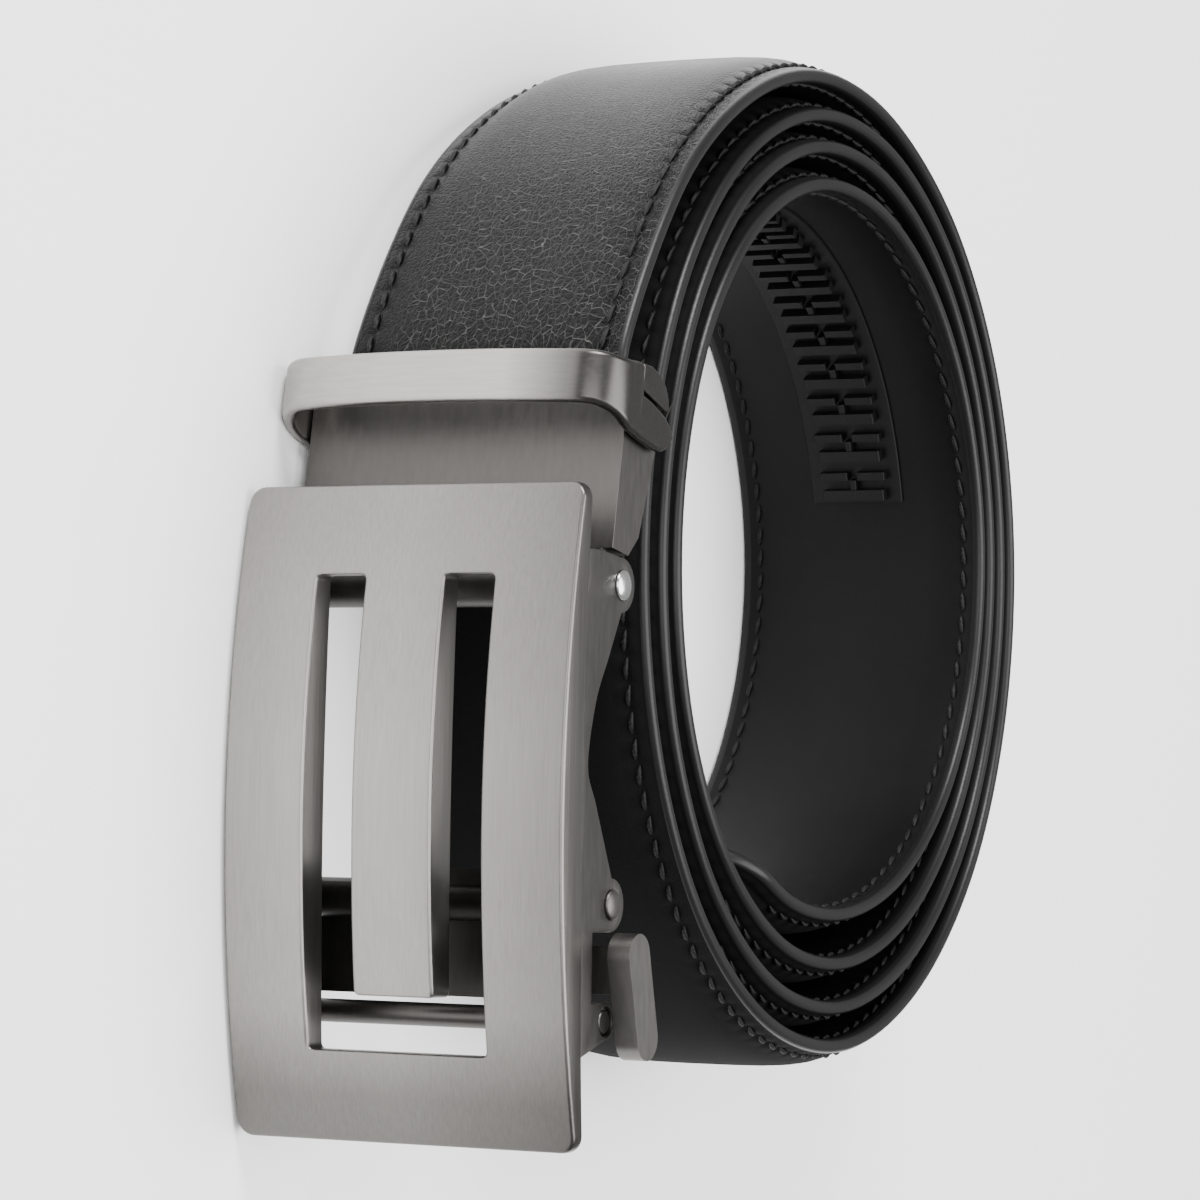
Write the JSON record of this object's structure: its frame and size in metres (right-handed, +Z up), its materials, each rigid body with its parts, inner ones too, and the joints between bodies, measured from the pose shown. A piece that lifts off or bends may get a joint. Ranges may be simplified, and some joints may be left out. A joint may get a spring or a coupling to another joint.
{
  "type": "ratchet belt",
  "caption": "Ratchet belt: padded leather strap coiled on its edge, hinged metal buckle with an open frame face, keeper loop, toothed track and release lever.",
  "frame": {"origin": "on the surface that the belt lies on, under the middle of its box", "axes": "+Z up, across the strap's width; the buckle's face looks along -Y and its free end points along +X"},
  "size_m": [0.129, 0.1466, 0.0456],
  "materials": {
    "leather": "black pebbled grain, padded, with painted edges",
    "rack_plastic": "moulded black",
    "brushed_nickel": "brushed along the buckle, dark nickel on zinc alloy",
    "satin_nickel": "satin dark nickel",
    "bright_steel": "bright nickel plated steel"
  },
  "bodies": {
    "belt": {"strap": "leather", "ratchet_rack": "rack_plastic", "clamp_channel": "satin_nickel"},
    "buckle_frame": {"face_frame": "brushed_nickel", "hinge_pin": "bright_steel", "lever_axle": "satin_nickel", "guide_pin": "satin_nickel", "return_spring": "bright_steel"},
    "loop": {"clamp_loop": "brushed_nickel"},
    "lever": {"release_lever": "satin_nickel"}
  },
  "joints": [
    {"name": "frame_hinge", "type": "hinge", "parent": "belt", "child": "buckle_frame", "pos_m": [0.00389, -0.05933, 0.02144], "axis": [0, 0, 1], "range_deg": [-15, 40]},
    {"name": "loop_hinge", "type": "hinge", "parent": "belt", "child": "loop", "pos_m": [-0.01351, -0.05213, 0.02144], "axis": [0, 0, -1], "range_deg": [0, 45]},
    {"name": "lever_hinge", "type": "hinge", "parent": "buckle_frame", "child": "lever", "pos_m": [0.03839, -0.06063, 0.02144], "axis": [0, 0, -1], "range_deg": [0, 12], "stiffness_Nm_per_rad": 0.02, "springref_deg": -20.05}
  ]
}
